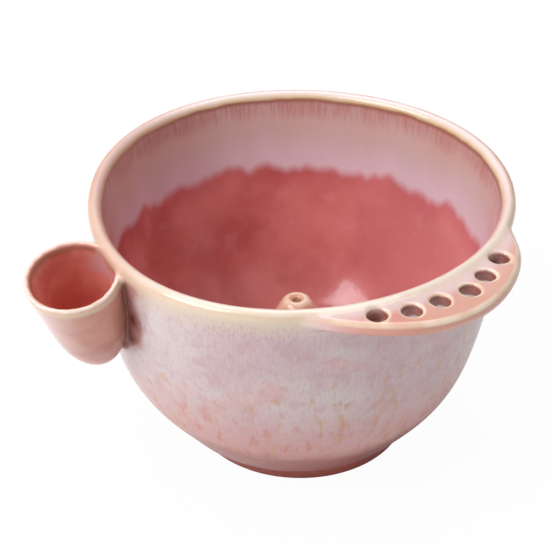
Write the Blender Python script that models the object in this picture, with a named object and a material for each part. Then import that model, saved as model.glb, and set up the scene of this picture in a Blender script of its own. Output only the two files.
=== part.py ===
"""Glazed stoneware bowl with a side cup, a pierced ledge and a fluted centre post.

Metres, +Z up. The bowl's axis is Z and the table is z = 0. The front of the bowl faces -Y.
"""

from math import atan2, ceil, cos, pi, radians, sin

import bmesh
import bpy
import numpy as np

# Bowl
RIM_DIAMETER = 0.165
BOWL_HEIGHT = 0.1075
BASE_DIAMETER = 0.098
WALL = 0.0056
WALL_LEAN = radians(9.7)
WALL_BELLY = 0.033
WALL_RISE = 0.078
BASE_ANGLE = radians(52)
FLOOR = 0.0065

# Foot
FOOT_HEIGHT = 0.0085
FOOT_TOP_DIAMETER = 0.089
FOOT_BASE_DIAMETER = 0.086
FOOT_ROUND = 0.0015

# Side cup, which leans out, sways in towards its bottom and is cut to sit against the bowl
CUP_DIAMETER = 0.0365
CUP_LENGTH = 0.0495
CUP_WALL = 0.0024
CUP_TAPER = 0.0026
CUP_BOTTOM_FULLNESS = 0.0125
CUP_LEAN = radians(8)
CUP_TILT = radians(-9.5)
CUP_SWAY = 0.0086
CUP_BEARING = radians(213)
CUP_OVERLAP = 0.0036
CUP_RIM_DROP = 0.0016
CUP_COIL = 0.0022

# Crescent ledge with its row of holes
LEDGE_SPAN = 0.095
LEDGE_WIDTH = 0.0169
LEDGE_THICKNESS = 0.0055
LEDGE_DROP = 0.001
LEDGE_BEARING = radians(-50.5)
LEDGE_EDGE_ROUND = 0.0018
HOLE_COUNT = 6
HOLE_DIAMETER = 0.0076
HOLE_PITCH = 0.0124
HOLE_OFFSET = 0.0058

# Coil under the ledge
LEDGE_COIL_LEG = 0.006
LEDGE_COIL_SPAN = 0.066

# Fluted post on the floor
POST_HEIGHT = 0.042
POST_BASE_DIAMETER = 0.048
POST_TIP_DIAMETER = 0.0084
POST_SWELL = 0.7
POST_RIDGES = 5
POST_RIDGE_DEPTH = 0.0013
POST_DIMPLE_DIAMETER = 0.0052
POST_DIMPLE_DEPTH = 0.0028

# Coil round the post
POST_COIL_WIDTH = 0.004
POST_COIL_HEIGHT = 0.003
COIL_HOLLOW = 0.35

# Slip left between two luted faces, and the fineness of the round shapes
SLIP_GAP = 0.0003
BOWL_SIDES = 64
CUP_SIDES = 36
HOLE_SIDES = 24
POST_SIDES = 40
CURVE_STEPS = 12
LIP_STEPS = 6
MERGE = 0.00002
SHARP = radians(40)

RIM_RADIUS = RIM_DIAMETER / 2
FOOT_TOP_RADIUS = FOOT_TOP_DIAMETER / 2
FLOOR_Z = FOOT_HEIGHT + FLOOR
LEDGE_TOP = BOWL_HEIGHT - LEDGE_DROP
LEDGE_BOTTOM = LEDGE_TOP - LEDGE_THICKNESS


def bezier(start, first, second, end, steps):
    """Points along one cubic curve, both ends included."""
    t = np.linspace(0, 1, steps + 1)[:, None]
    start, first, second, end = (np.array(p) for p in (start, first, second, end))
    near = (1 - t) ** 3 * start + 3 * t * (1 - t) ** 2 * first
    far = 3 * t**2 * (1 - t) * second + t**3 * end
    return near + far


def inward(points):
    """Unit normals of a turned outline that runs upwards, pointing to the inside."""
    along = np.gradient(points, axis=0)
    along /= np.linalg.norm(along, axis=1)[:, None]
    return np.stack([-along[:, 1], along[:, 0]], axis=1)


def lip(outer_end, normal, thickness):
    """Half circle over the top of a wall, from its outer to its inner side."""
    along = np.array([normal[1], -normal[0]])
    turn = np.linspace(0, pi, LIP_STEPS + 1)[1:-1, None]
    middle = outer_end + normal * thickness / 2
    return middle + thickness / 2 * (along * np.sin(turn) - normal * np.cos(turn))


def shell(outer, thickness, floor_z):
    """Closed outline of an open vessel: up the outside, over the lip, down to a flat floor."""
    normals = inward(outer)
    inner = (outer + normals * thickness)[::-1]
    inner = inner[inner[:, 1] > floor_z + MERGE]
    corner = [max(inner[-1, 0] - (inner[-1, 1] - floor_z), 0), floor_z]
    ends = [[0, outer[0, 1]]] if outer[0, 0] > MERGE else []
    profile = [*ends, *outer, *lip(outer[-1], normals[-1], thickness), *inner, corner, [0, floor_z]]
    return [tuple(point) for point in profile]


def bowl_outside():
    """Outer outline of the bowl, from its seat on the foot up to the lip."""
    start = np.array([BASE_DIAMETER / 2, FOOT_HEIGHT])
    drop = WALL / 2 * (1 + sin(WALL_LEAN))
    end = np.array([RIM_RADIUS - WALL / 2 * (1 - cos(WALL_LEAN)), BOWL_HEIGHT - drop])
    belly = start + WALL_BELLY * np.array([cos(BASE_ANGLE), sin(BASE_ANGLE)])
    rise = end - WALL_RISE * np.array([sin(WALL_LEAN), cos(WALL_LEAN)])
    return bezier(start, belly, rise, end, CURVE_STEPS)


def cup_outside():
    """Outer outline of the cup, from its round bottom up to its lip, with the mouth at z = 0."""
    radius = CUP_DIAMETER / 2
    bottom = (0, -CUP_LENGTH)
    round_out = (CUP_BOTTOM_FULLNESS, -CUP_LENGTH)
    side = (radius - CUP_TAPER, -CUP_LENGTH / 2)
    mouth = (radius, -CUP_WALL / 2)
    return bezier(bottom, round_out, side, mouth, CURVE_STEPS)


def wall_radius(z):
    """Radius of the bowl's outside at a height."""
    outside = bowl_outside()
    return float(np.interp(z, outside[:, 1], outside[:, 0]))


def material(name, colour, roughness):
    """Plain glaze or clay colour."""
    made = bpy.data.materials.new(name)
    made.use_nodes = True
    shader = made.node_tree.nodes["Principled BSDF"]
    shader.inputs["Base Color"].default_value = (*colour, 1)
    shader.inputs["Roughness"].default_value = roughness
    shader.inputs["Metallic"].default_value = 0
    return made


def add_object(name, bm, surface=None):
    """Object from a bmesh, shaded smooth except at its edges."""
    bmesh.ops.remove_doubles(bm, verts=bm.verts, dist=MERGE)
    bmesh.ops.recalc_face_normals(bm, faces=bm.faces)
    mesh = bpy.data.meshes.new(name)
    bm.to_mesh(mesh)
    bm.free()
    mesh.shade_smooth()
    mesh.set_sharp_from_angle(angle=SHARP)
    if surface:
        mesh.materials.append(surface)
    made = bpy.data.objects.new(name, mesh)
    bpy.context.scene.collection.objects.link(made)
    return made


def turned(name, profile, sides, surface=None):
    """Solid turned round Z from an outline that starts and ends on the axis, or closes on itself."""
    bm = bmesh.new()
    verts = [bm.verts.new((r, 0, z)) for r, z in profile]
    edges = [bm.edges.new(pair) for pair in zip(verts, verts[1:])]
    if profile[0][0] > MERGE:
        edges.append(bm.edges.new((verts[-1], verts[0])))
    bmesh.ops.spin(bm, geom=verts + edges, axis=(0, 0, 1), angle=2 * pi, steps=sides)
    return add_object(name, bm, surface)


def swept(name, section_at, bearings, surface):
    """Solid that joins one cross-section, given as (radius, z) corners, at each bearing."""
    bm = bmesh.new()
    rings = []
    for bearing in bearings:
        corners = [(r * cos(bearing), r * sin(bearing), z) for r, z in section_at(bearing)]
        rings.append([bm.verts.new(corner) for corner in corners])
    for ring, following in zip(rings, rings[1:]):
        for i in range(len(ring)):
            j = (i + 1) % len(ring)
            bm.faces.new((ring[i], ring[j], following[j], following[i]))
    bm.faces.new(rings[0])
    bm.faces.new(rings[-1])
    return add_object(name, bm, surface)


def cut(target, cutter, operation="DIFFERENCE"):
    """Cuts one object by another and hides the cutter."""
    cutter.hide_render = True
    cutter.display_type = "WIRE"
    boolean = target.modifiers.new(cutter.name, "BOOLEAN")
    boolean.operation = operation
    boolean.solver = "EXACT"
    boolean.use_self = True
    boolean.object = cutter


def place_cup(obj):
    """Sways a shape made round the cup's own axis towards the bowl, and sets it against the side."""
    for vertex in obj.data.vertices:
        vertex.co.x += CUP_SWAY * vertex.co.z / CUP_LENGTH
    out = RIM_RADIUS - CUP_OVERLAP + CUP_DIAMETER / 2 * cos(CUP_LEAN)
    mouth_z = BOWL_HEIGHT - CUP_RIM_DROP - CUP_DIAMETER / 2 * sin(CUP_LEAN)
    obj.location = (out * cos(CUP_BEARING), out * sin(CUP_BEARING), mouth_z)
    obj.rotation_euler = (CUP_TILT, CUP_LEAN, CUP_BEARING)


def solid_bowl(name, swell, top=BOWL_HEIGHT + WALL):
    """The bowl's outside as a solid, grown by a distance and ending flat at a height."""
    outside = bowl_outside()
    outside -= inward(outside) * swell
    outside = outside[outside[:, 1] < top]
    over = [(outside[-1, 0], top), (0, top)]
    return turned(name, [(0, outside[0, 1]), *outside, *over], BOWL_SIDES)


def solid_cup(name, swell):
    """The cup's outside as a solid, grown by a distance, carried past the mouth."""
    outside = cup_outside()
    outside -= inward(outside) * swell
    outside[0, 0] = 0
    over = [(outside[-1, 0], CUP_WALL), (0, CUP_WALL)]
    cup = turned(name, [*outside, *over], CUP_SIDES)
    place_cup(cup)
    return cup


def make_bowl(surface):
    return turned("bowl_body", shell(bowl_outside(), WALL, FLOOR_Z), BOWL_SIDES, surface)


def make_foot(surface):
    base = FOOT_BASE_DIAMETER / 2
    top = FOOT_HEIGHT - SLIP_GAP
    slope = atan2(top - FOOT_ROUND, FOOT_TOP_RADIUS - base)
    turn = np.linspace(-pi / 2, slope - pi / 2, LIP_STEPS)
    rounded = [(base - FOOT_ROUND + FOOT_ROUND * cos(a), FOOT_ROUND * (1 + sin(a))) for a in turn]
    shoulder = [(FOOT_TOP_RADIUS, top - FOOT_ROUND / 2), (FOOT_TOP_RADIUS - FOOT_ROUND / 2, top)]
    return turned("foot", [(0, 0), *rounded, *shoulder, (0, top)], BOWL_SIDES, surface)


def make_cup(surface):
    """Cup whose near side is cut away to sit against the wall, which closes it there."""
    cup = turned("side_cup", shell(cup_outside(), CUP_WALL, CUP_WALL - CUP_LENGTH), CUP_SIDES, surface)
    place_cup(cup)
    cut(cup, solid_bowl("cup_seat_cutter", SLIP_GAP))
    return cup


def make_cup_coil(surface):
    """Bead of clay along the joint, in the corner between the cup and the wall."""
    coil = solid_cup("cup_luting_coil", CUP_COIL)
    coil.data.materials.append(surface)
    cut(coil, solid_bowl("coil_reach", CUP_COIL, BOWL_HEIGHT - WALL), "INTERSECT")
    cut(coil, solid_bowl("coil_wall_cutter", SLIP_GAP))
    cut(coil, solid_cup("coil_cup_cutter", SLIP_GAP))
    return coil


def hole_bearings():
    """Bearings of the holes, set out by their pitch along the row."""
    step = HOLE_PITCH / (RIM_RADIUS + HOLE_OFFSET)
    return [LEDGE_BEARING + (i - (HOLE_COUNT - 1) / 2) * step for i in range(HOLE_COUNT)]


def make_ledge(surface):
    half = LEDGE_SPAN / 2 / RIM_RADIUS
    inner = RIM_RADIUS + SLIP_GAP
    thinnest = 2 * LEDGE_EDGE_ROUND

    def section(bearing):
        share = (bearing - LEDGE_BEARING) / half
        outer = inner + thinnest + (LEDGE_WIDTH - thinnest) * (1 - share**2)
        edge = LEDGE_EDGE_ROUND
        turn = np.linspace(0, pi / 2, LIP_STEPS // 2 + 1)
        upper = [(outer - edge * (1 - sin(a)), LEDGE_TOP - edge * (1 - cos(a))) for a in turn]
        lower = [(outer - edge * (1 - cos(a)), LEDGE_BOTTOM + edge * (1 - sin(a))) for a in turn]
        return [(inner, LEDGE_BOTTOM), (inner, LEDGE_TOP), *upper, *lower]

    steps = 2 * ceil(half / (2 * pi / BOWL_SIDES))
    bearings = LEDGE_BEARING + np.linspace(-half, half, steps + 1)
    ledge = swept("tool_ledge", section, bearings, surface)
    for number, bearing in enumerate(hole_bearings(), 1):
        bm = bmesh.new()
        depth = 3 * LEDGE_THICKNESS
        bmesh.ops.create_cone(
            bm, cap_ends=True, segments=HOLE_SIDES, depth=depth,
            radius1=HOLE_DIAMETER / 2, radius2=HOLE_DIAMETER / 2,
        )
        cutter = add_object(f"hole_cutter_{number}", bm)
        row = RIM_RADIUS + HOLE_OFFSET
        cutter.location = (row * cos(bearing), row * sin(bearing), (LEDGE_TOP + LEDGE_BOTTOM) / 2)
        cut(ledge, cutter)
    return ledge


def make_ledge_coil(surface):
    """Coil in the corner between the wall and the underside of the ledge."""
    top = LEDGE_BOTTOM - SLIP_GAP
    bottom = top - LEDGE_COIL_LEG
    slack = SLIP_GAP / cos(WALL_LEAN)
    reach = HOLE_OFFSET - HOLE_DIAMETER / 2

    def section(bearing):
        high = (wall_radius(top) + slack, top)
        low = (wall_radius(bottom) + slack, bottom)
        outer = (RIM_RADIUS + reach, top)
        hollow = ((high[0] + 2 * low[0] + outer[0]) / 4, (top + bottom) / 2)
        return [low, hollow, outer, high]

    half = LEDGE_COIL_SPAN / 2 / RIM_RADIUS
    steps = ceil(2 * half / (2 * pi / BOWL_SIDES))
    bearings = LEDGE_BEARING + np.linspace(-half, half, steps + 1)
    return swept("ledge_luting_coil", section, bearings, surface)


def make_post(surface):
    """Fluted cone with a dimple in its tip, standing on the floor."""
    base = POST_BASE_DIAMETER / 2
    tip = POST_TIP_DIAMETER / 2
    dimple = POST_DIMPLE_DIAMETER / 2
    foot_z = FLOOR_Z + SLIP_GAP
    bm = bmesh.new()
    rings = []
    for share in np.linspace(0, 1, CURVE_STEPS + 1):
        radius = tip + (base - tip) * (1 - share) ** POST_SWELL
        depth = POST_RIDGE_DEPTH * sin(pi * share)
        turns = [2 * pi * i / POST_SIDES for i in range(POST_SIDES)]
        radii = [radius - depth * (1 - cos(POST_RIDGES * (a + pi / 2))) / 2 for a in turns]
        z = foot_z + share * POST_HEIGHT
        rings.append([bm.verts.new((r * cos(a), r * sin(a), z)) for r, a in zip(radii, turns)])
    top = foot_z + POST_HEIGHT
    rings.append([bm.verts.new((dimple * cos(a), dimple * sin(a), top)) for a in turns])
    for ring, following in zip(rings, rings[1:]):
        for i in range(POST_SIDES):
            j = (i + 1) % POST_SIDES
            bm.faces.new((ring[i], ring[j], following[j], following[i]))
    pit = bm.verts.new((0, 0, top - POST_DIMPLE_DEPTH))
    for i in range(POST_SIDES):
        bm.faces.new((rings[-1][i], rings[-1][(i + 1) % POST_SIDES], pit))
    bm.faces.new(rings[0])
    return add_object("centre_post", bm, surface)


def make_post_coil(surface):
    """Coil that fillets the foot of the post into the floor."""
    inner = POST_BASE_DIAMETER / 2 + SLIP_GAP
    low = FLOOR_Z + SLIP_GAP
    middle = (inner + POST_COIL_WIDTH * COIL_HOLLOW, low + POST_COIL_HEIGHT * COIL_HOLLOW)
    profile = [(inner, low + POST_COIL_HEIGHT), middle, (inner + POST_COIL_WIDTH, low), (inner, low)]
    return turned("post_luting_coil", profile, POST_SIDES, surface)


def main():
    for old in list(bpy.data.objects):
        bpy.data.objects.remove(old)
    pink = material("pink_glaze", (0.62, 0.42, 0.44), 0.3)
    rose = material("rose_glaze", (0.55, 0.14, 0.14), 0.2)
    salmon = material("salmon_glaze", (0.55, 0.25, 0.18), 0.3)
    clay = material("foot_clay", (0.32, 0.09, 0.07), 0.55)
    make_bowl(pink)
    make_foot(clay)
    make_cup(salmon)
    make_cup_coil(salmon)
    make_ledge(salmon)
    make_ledge_coil(pink)
    make_post(rose)
    make_post_coil(rose)


main()
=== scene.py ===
# %% [markdown]
# # A glazed bowl with a side cup, a pierced ledge and a fluted post
#
# The real object is one thrown stoneware bowl. A small pinched cup is luted to its left side, a
# crescent ledge with six holes is luted to its rim at the right, and a fluted post stands on its
# floor. A pink glaze runs over all of it: red inside, lilac where it lies thick, cream where it
# breaks over an edge. This lesson models the clay with Blender's own operators, fuses the luted
# pieces as the wet clay was fused, and then paints the glaze with nodes.

# %% Load the solids as the frame
from math import cos, pi, radians, sin

import bpy
import numpy as np
from mathutils import Euler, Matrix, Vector


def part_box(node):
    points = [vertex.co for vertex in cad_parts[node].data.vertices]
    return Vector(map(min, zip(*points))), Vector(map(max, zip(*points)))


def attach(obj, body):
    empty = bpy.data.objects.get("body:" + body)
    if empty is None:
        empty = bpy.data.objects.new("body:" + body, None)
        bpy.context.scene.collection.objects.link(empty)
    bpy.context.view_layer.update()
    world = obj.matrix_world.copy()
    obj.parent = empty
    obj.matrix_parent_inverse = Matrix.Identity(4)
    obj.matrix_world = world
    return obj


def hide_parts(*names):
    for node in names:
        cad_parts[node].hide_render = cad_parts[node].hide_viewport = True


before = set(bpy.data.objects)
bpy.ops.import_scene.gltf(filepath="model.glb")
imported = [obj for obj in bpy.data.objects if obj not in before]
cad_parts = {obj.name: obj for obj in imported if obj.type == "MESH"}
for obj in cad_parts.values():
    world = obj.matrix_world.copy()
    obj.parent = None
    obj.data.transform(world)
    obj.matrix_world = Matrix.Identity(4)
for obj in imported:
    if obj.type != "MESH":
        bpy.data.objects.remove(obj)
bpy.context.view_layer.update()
MM = 0.001

# %% [markdown]
# ## Camera
#
# The bowl was photographed from in front and above, from far enough away that the rim looks like a
# true ellipse. The camera stands 700 mm from the bowl, 34.5 degrees above the table, with a long
# lens. It aims a little past the bowl's middle, so that no lens shift is needed.

# %% Camera
ELEVATION = radians(34.5)
CAMERA_DISTANCE = 0.700
FRAME_PIXELS = 551
FOCAL_PIXELS = 1766
MIDDLE = Vector((0, 0, 0.060))
MIDDLE_PIXEL = (296.9, 291.8)

camera_up = Vector((0, sin(ELEVATION), cos(ELEVATION)))
camera_place = MIDDLE + CAMERA_DISTANCE * Vector((0, -cos(ELEVATION), sin(ELEVATION)))
aside = (FRAME_PIXELS / 2 - MIDDLE_PIXEL[0]) * CAMERA_DISTANCE / FOCAL_PIXELS
above = (MIDDLE_PIXEL[1] - FRAME_PIXELS / 2) * CAMERA_DISTANCE / FOCAL_PIXELS
aim = MIDDLE + Vector((aside, 0, 0)) + above * camera_up

bpy.ops.object.camera_add(location=camera_place)
camera = bpy.context.object
camera.rotation_euler = (aim - camera_place).to_track_quat("-Z", "Y").to_euler()
camera.data.sensor_width = 36
camera.data.lens = FOCAL_PIXELS * 36 / FRAME_PIXELS
bpy.context.scene.camera = camera
print("lens", round(camera.data.lens, 1), "mm")

# %% [markdown]
# ## Helpers for modelling
#
# A potter turns a shape from its section. Here a section is drawn point by point by extruding one
# vertex, and the spin operator carries it once round the axis. Hand marks that no operator gives,
# such as a crescent outline or a warped rim, are a rule that moves every point of a mesh.

# %% Helpers for modelling


def clear_selection():
    """Leaves edit mode and deselects everything."""
    if bpy.context.mode != "OBJECT":
        bpy.ops.object.mode_set(mode="OBJECT")
    bpy.ops.object.select_all(action="DESELECT")


def pick(*pieces):
    """Selects these pieces alone, the first as the active one."""
    clear_selection()
    for piece in pieces:
        piece.select_set(True)
    bpy.context.view_layer.objects.active = pieces[0]


def finish_with(piece, kind, **settings):
    """Adds one modifier with its settings and applies it."""
    pick(piece)
    modifier = piece.modifiers.new(kind.title(), kind)
    for setting, value in settings.items():
        setattr(modifier, setting, value)
    bpy.ops.object.modifier_apply(modifier=modifier.name)


def face_outwards(piece):
    """Merges doubled points, then turns every face outwards."""
    pick(piece)
    bpy.ops.object.mode_set(mode="EDIT")
    bpy.ops.mesh.select_all(action="SELECT")
    bpy.ops.mesh.remove_doubles(threshold=0.00001)
    bpy.ops.mesh.normals_make_consistent(inside=False)
    bpy.ops.object.mode_set(mode="OBJECT")


def turn_on_wheel(name, section, steps):
    """Extrudes a half section point by point in the XZ plane, then spins it round Z."""
    clear_selection()
    bpy.context.tool_settings.mesh_select_mode = (True, False, False)
    bpy.ops.mesh.primitive_plane_add(size=0.01)
    piece = bpy.context.object
    piece.name = name
    bpy.ops.object.mode_set(mode="EDIT")
    bpy.ops.mesh.merge(type="CENTER")
    bpy.ops.transform.translate(value=(section[0][0], 0, section[0][1]))
    for here, there in zip(section, section[1:]):
        step = (there[0] - here[0], 0, there[1] - here[1])
        bpy.ops.mesh.extrude_region_move(TRANSFORM_OT_translate={"value": step})
    bpy.ops.mesh.select_all(action="SELECT")
    bpy.ops.mesh.spin(steps=steps, angle=2 * pi, center=(0, 0, 0), axis=(0, 0, 1))
    bpy.ops.object.mode_set(mode="OBJECT")
    face_outwards(piece)
    return piece


def read(rows, name, kind=np.float32, width=1):
    """What Blender keeps under one name for each row: a value, or as many as the width says."""
    flat = np.empty(len(rows) * width, kind)
    rows.foreach_get(name, flat)
    return flat.reshape(-1, width) if width > 1 else flat


def points_of(piece):
    """The piece's points as rows of x, y, z."""
    return read(piece.data.vertices, "co", np.float64, 3)


def reshape(piece, rule):
    """Moves every point of a piece by one rule that takes and returns rows of x, y, z."""
    piece.data.vertices.foreach_set("co", rule(points_of(piece)).ravel())
    piece.data.update()


def curve(start, first, second, end, steps):
    """Points along one cubic curve, both ends included."""
    t = np.linspace(0, 1, steps + 1)[:, None]
    start, first, second, end = (np.array(p) for p in (start, first, second, end))
    near = (1 - t) ** 3 * start + 3 * t * (1 - t) ** 2 * first
    return near + 3 * t**2 * (1 - t) * second + t**3 * end


def inwards(points):
    """Unit normals of a section that runs upwards, pointing to the inside."""
    along = np.gradient(points, axis=0)
    along /= np.linalg.norm(along, axis=1)[:, None]
    return np.stack([-along[:, 1], along[:, 0]], axis=1)


def smooth_step(values, low, high):
    """0 below low, 1 above high, and an even rise between them."""
    share = np.clip((values - low) / (high - low), 0, 1)
    return share * share * (3 - 2 * share)


# %% [markdown]
# ## The thrown bowl
#
# The wall swings out from a narrow seat and then rises almost straight, leaning out a little. Its
# outside is one cubic curve, its inside follows at the wall's thickness, and a half circle closes
# the lip. The floor meets the wall in a soft turn, as a potter's thumb leaves it.

# %% The bowl's section
RIM_RADIUS = 82.5 * MM
BOWL_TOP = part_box("bowl_body")[1][2]
SEAT_RADIUS = 49 * MM
SEAT_HEIGHT = 8.5 * MM
WALL = 5.6 * MM
WALL_LEAN = radians(9.7)
FLOOR_HEIGHT = 15 * MM
FLOOR_TURN = 9 * MM
BELLY_SLOPE = radians(52)
BELLY_REACH = 33 * MM
RISE_REACH = 78 * MM

lip_radius = WALL / 2
lip_end = np.array([RIM_RADIUS, BOWL_TOP])
lip_end -= lip_radius * np.array([1 - cos(WALL_LEAN), 1 + sin(WALL_LEAN)])
seat = np.array([SEAT_RADIUS, SEAT_HEIGHT])
belly = seat + BELLY_REACH * np.array([cos(BELLY_SLOPE), sin(BELLY_SLOPE)])
rise = lip_end - RISE_REACH * np.array([sin(WALL_LEAN), cos(WALL_LEAN)])
bowl_outside = curve(seat, belly, rise, lip_end, 60)
bowl_inside = bowl_outside + inwards(bowl_outside) * WALL


def lip_arc(outer_end, normal, thickness, steps):
    """Half circle over the top of a wall, from its outer to its inner side."""
    along = np.array([normal[1], -normal[0]])
    turn = np.linspace(0, pi, steps + 1)[1:-1, None]
    middle = outer_end + normal * thickness / 2
    return middle + thickness / 2 * (along * np.sin(turn) - normal * np.cos(turn))


down_inside = bowl_inside[::-1]
down_inside = down_inside[down_inside[:, 1] > FLOOR_HEIGHT + FLOOR_TURN]
turn_start = down_inside[-1]
turn_end = np.array([turn_start[0] - 16 * MM, FLOOR_HEIGHT])
turn_middle = np.array([turn_start[0] - 7 * MM, FLOOR_HEIGHT + 1 * MM])
floor_turn = curve(turn_start, (turn_start + turn_middle) / 2, turn_middle, turn_end, 10)[1:]
bowl_lip = lip_arc(bowl_outside[-1], inwards(bowl_outside)[-1], WALL, 12)
bowl_section = [(0, SEAT_HEIGHT), *bowl_outside, *bowl_lip, *down_inside, *floor_turn, (0, FLOOR_HEIGHT)]
bowl_clay = turn_on_wheel("bowl_clay", bowl_section, 160)
print("bowl clay", len(bowl_clay.data.polygons), "faces")

# %% [markdown]
# ## The pinched cup
#
# The cup is turned upright round Z with its mouth at the origin, tapering to a round bottom. The
# potter's thumb pushed its bottom towards the bowl, so each layer sways over with its depth. Then
# it is leaned and moved against the left side of the bowl. It runs a little way into the wall, where
# the potter pressed it on, and its lip stays a whole ring.

# %% The cup
CUP_RADIUS = 18.25 * MM
CUP_LENGTH = 49.5 * MM
CUP_WALL = 2.4 * MM
CUP_LEAN = radians(8)
CUP_TILT = radians(-9.5)
CUP_SWAY = 8.6 * MM
CUP_BEARING = radians(213)
CUP_OVERLAP = 3.6 * MM
CUP_DROP = 1.6 * MM
CUP_TAPER = 2.6 * MM
CUP_BOTTOM_FULLNESS = 12.5 * MM

cup_bottom = (0, -CUP_LENGTH)
cup_round = (CUP_BOTTOM_FULLNESS, -CUP_LENGTH)
cup_side = (CUP_RADIUS - CUP_TAPER, -CUP_LENGTH / 2)
cup_outside = curve(cup_bottom, cup_round, cup_side, (CUP_RADIUS, -CUP_WALL / 2), 40)
cup_normals = inwards(cup_outside)
cup_inside = (cup_outside + cup_normals * CUP_WALL)[::-1]
cup_inside = cup_inside[cup_inside[:, 0] > 2 * MM]
cup_lip = lip_arc(cup_outside[-1], cup_normals[-1], CUP_WALL, 8)
cup_section = [*cup_outside, *cup_lip, *cup_inside, (0, CUP_WALL - CUP_LENGTH)]
cup_clay = turn_on_wheel("cup_clay", cup_section, 72)

cup_out = RIM_RADIUS - CUP_OVERLAP + CUP_RADIUS * cos(CUP_LEAN)
cup_mouth = Vector((cup_out * cos(CUP_BEARING), cup_out * sin(CUP_BEARING), 0))
cup_mouth.z = BOWL_TOP - CUP_DROP - CUP_RADIUS * sin(CUP_LEAN)
cup_turn = Euler((CUP_TILT, CUP_LEAN, CUP_BEARING)).to_matrix()
sway = np.array([CUP_SWAY / CUP_LENGTH, 0, 0])
reshape(cup_clay, lambda points: points + points[:, 2:] * sway)
pick(cup_clay)
cup_clay.location = cup_mouth
cup_clay.rotation_euler = cup_turn.to_euler()
bpy.ops.object.transform_apply()
print("cup mouth", [round(1000 * v, 1) for v in cup_mouth], "mm")

# %% [markdown]
# ## The hand in the rim
#
# No thrown rim is a true circle. This one sags where the weight of the cup hangs on it and was
# drawn in where the ledge was pressed on. A few slow waves say how far the rim stands out and up
# at each place round it, counted from the front towards the right.

# %% The hand in the rim


def rim_lift(around):
    wave = -0.21 * np.cos(around) + 0.55 * np.sin(around) + 0.51 * np.cos(2 * around)
    wave += -0.59 * np.sin(2 * around) + 0.44 * np.cos(3 * around) + 0.16 * np.sin(3 * around)
    return wave * MM


def rim_spread(around):
    wave = 0.70 * np.cos(2 * around) - 0.30 * np.sin(2 * around)
    wave += 0.78 * np.cos(3 * around) - 1.58 * np.sin(3 * around)
    return wave * MM


print("rim drawn in at the ledge by", round(-1000 * rim_spread(radians(40)), 1), "mm")

# %% [markdown]
# ## The pierced ledge
#
# The ledge is a flat crescent luted to the rim. A grid is bent into the crescent by a rule that
# reads its outline as a radius at each bearing, extruded to the ledge's thickness and rolled over
# along its outer edge. Six holes are punched through it by hand, so they don't sit quite in line.

# %% The ledge
LEDGE_OUTLINE = ((-97, 81.5), (-89, 83.6), (-82, 87.0), (-76, 90.6), (-70, 94.0), (-64, 97.0), (-58, 99.2))
LEDGE_OUTLINE += ((-51, 99.8), (-44, 98.8), (-36, 95.8), (-28, 92.2), (-22, 88.2), (-18, 83.8), (-12, 81.2))
LEDGE_ROOT = 79.9 * MM
LEDGE_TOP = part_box("tool_ledge")[1][2]
LEDGE_THICKNESS = 5.5 * MM
LEDGE_ROUND = 2.3 * MM
HOLES = ((-71.2, 86.0), (-63.0, 87.7), (-55.1, 87.4), (-46.6, 88.6), (-39.3, 86.7), (-30.7, 84.9))
HOLE_RADIUS = 3.8 * MM

ledge_bearings = np.radians([bearing for bearing, _ in LEDGE_OUTLINE])
ledge_radii = np.array([radius for _, radius in LEDGE_OUTLINE]) * MM


def soft_outline(bearing):
    """Outer radius of the ledge at a bearing, with the corners of the list rounded off."""
    around = np.radians(np.linspace(-4, 4, 9))
    outline = np.mean([np.interp(bearing + a, ledge_bearings, ledge_radii) for a in around], axis=0)
    return outline - rim_spread(bearing + pi / 2)


def crescent(points):
    """Bends a flat grid into the ledge, with its rows drawn together towards the outer edge."""
    bearing = ledge_bearings[0] + (points[:, 0] + 0.5) * (ledge_bearings[-1] - ledge_bearings[0])
    across = 1 - (0.5 - points[:, 1]) ** 2
    radius = LEDGE_ROOT + across * (soft_outline(bearing) - LEDGE_ROOT)
    return np.stack([radius * np.cos(bearing), radius * np.sin(bearing), 0 * bearing + LEDGE_TOP], axis=1)


def rounded_edge(points):
    """Rolls the top and the underside together along the outer edge."""
    bearing = np.arctan2(points[:, 1], points[:, 0])
    from_edge = soft_outline(bearing) - np.hypot(points[:, 0], points[:, 1])
    short = np.clip(1 - from_edge / LEDGE_ROUND, 0, 1)
    roll = LEDGE_ROUND * (1 - np.sqrt(1 - short**2))
    below = points[:, 2] < LEDGE_TOP - LEDGE_THICKNESS / 2
    rolled = points.copy()
    rolled[:, 2] += np.where(below, roll, -roll)
    return rolled


clear_selection()
bpy.ops.mesh.primitive_grid_add(x_subdivisions=90, y_subdivisions=14, size=1)
ledge_clay = bpy.context.object
ledge_clay.name = "ledge_clay"
reshape(ledge_clay, crescent)
bpy.ops.object.mode_set(mode="EDIT")
bpy.ops.mesh.select_all(action="SELECT")
bpy.ops.mesh.extrude_region_move(TRANSFORM_OT_translate={"value": (0, 0, -LEDGE_THICKNESS)})
bpy.ops.object.mode_set(mode="OBJECT")
reshape(ledge_clay, rounded_edge)
face_outwards(ledge_clay)


def hole_place(bearing, radius):
    """Middle of a hole before the rim is bent, so that it lands where it belongs afterwards."""
    row = radius * MM - rim_spread(radians(bearing + 90))
    return row * cos(radians(bearing)), row * sin(radians(bearing))


for hole in HOLES:
    clear_selection()
    place = (*hole_place(*hole), LEDGE_TOP)
    bpy.ops.mesh.primitive_cylinder_add(vertices=48, radius=HOLE_RADIUS, depth=30 * MM, location=place)
    punch = bpy.context.object
    finish_with(ledge_clay, "BOOLEAN", operation="DIFFERENCE", solver="EXACT", object=punch)
    bpy.data.objects.remove(punch)
print("ledge clay", len(ledge_clay.data.polygons), "faces,", len(HOLES), "holes")

# %% [markdown]
# ## The fluted post
#
# The post stands on the floor like the cone of a juicer. It is turned with a dished tip, and five
# soft flutes are then pressed into it by a rule that draws its points in between the ridges.

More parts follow.
